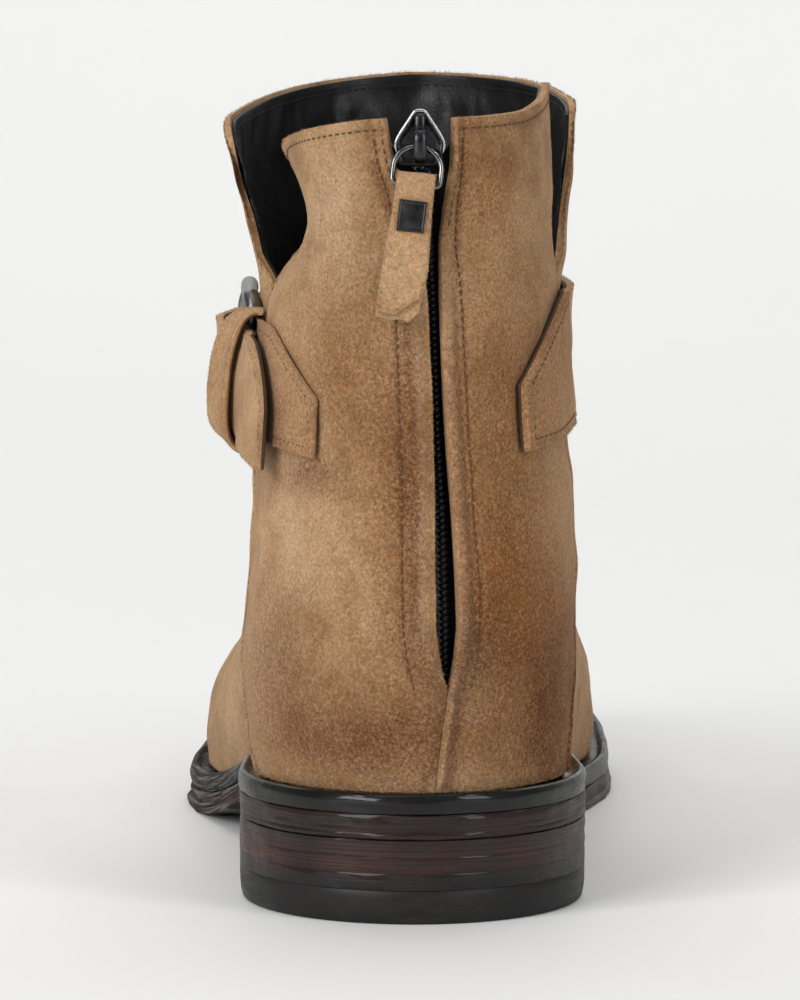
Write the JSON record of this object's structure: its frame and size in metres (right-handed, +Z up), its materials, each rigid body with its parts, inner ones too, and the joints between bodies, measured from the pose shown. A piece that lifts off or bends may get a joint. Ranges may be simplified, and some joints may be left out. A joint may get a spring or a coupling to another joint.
{
  "type": "ankle boot",
  "caption": "Low suede ankle boot for the left foot with a zip up the back, a buckled ankle strap, a tall front flap, a welted leather sole and a stacked heel.",
  "frame": {"origin": "under the middle of the heel, on the floor", "axes": "+Y towards the toe, +Z up, +X towards the inner side of the foot"},
  "size_m": [0.1033, 0.3006, 0.1755],
  "materials": {
    "suede": "camel suede with a short nap, mottled and a little worn",
    "sole_leather": "dark waxed edge, plain underside",
    "welt_leather": "black, waxed and polished",
    "heel_leather": "dark stacked lifts, waxed and polished",
    "heel_rubber": "matte black",
    "insole_leather": "smooth black leather",
    "gunmetal": "polished gunmetal",
    "dark_nickel": "dark nickel with bright edges",
    "zip_fabric": "black woven tape",
    "zip_coil": "black coil"
  },
  "bodies": {
    "boot": {"outsole": "sole_leather", "welt": "welt_leather", "heel_stack": "heel_leather", "top_lift": "heel_rubber", "insole": "insole_leather", "upper": "suede", "strap": "suede", "buckle_tab": "suede", "strap_keeper": "suede", "buckle_frame": "gunmetal", "buckle_prong": "gunmetal", "zip_tape": "zip_fabric", "zip_teeth": "zip_coil", "zip_slider": "dark_nickel"},
    "zip_pull": {"pull_ring": "dark_nickel", "pull_tab": "suede", "pull_stud": "dark_nickel"}
  },
  "joints": [
    {"name": "zip_pull_hinge", "type": "hinge", "parent": "boot", "child": "zip_pull", "pos_m": [0.0007, -0.0351, 0.1616], "axis": [-0.9925, 0, 0.1219], "range_deg": [0, 150]}
  ]
}
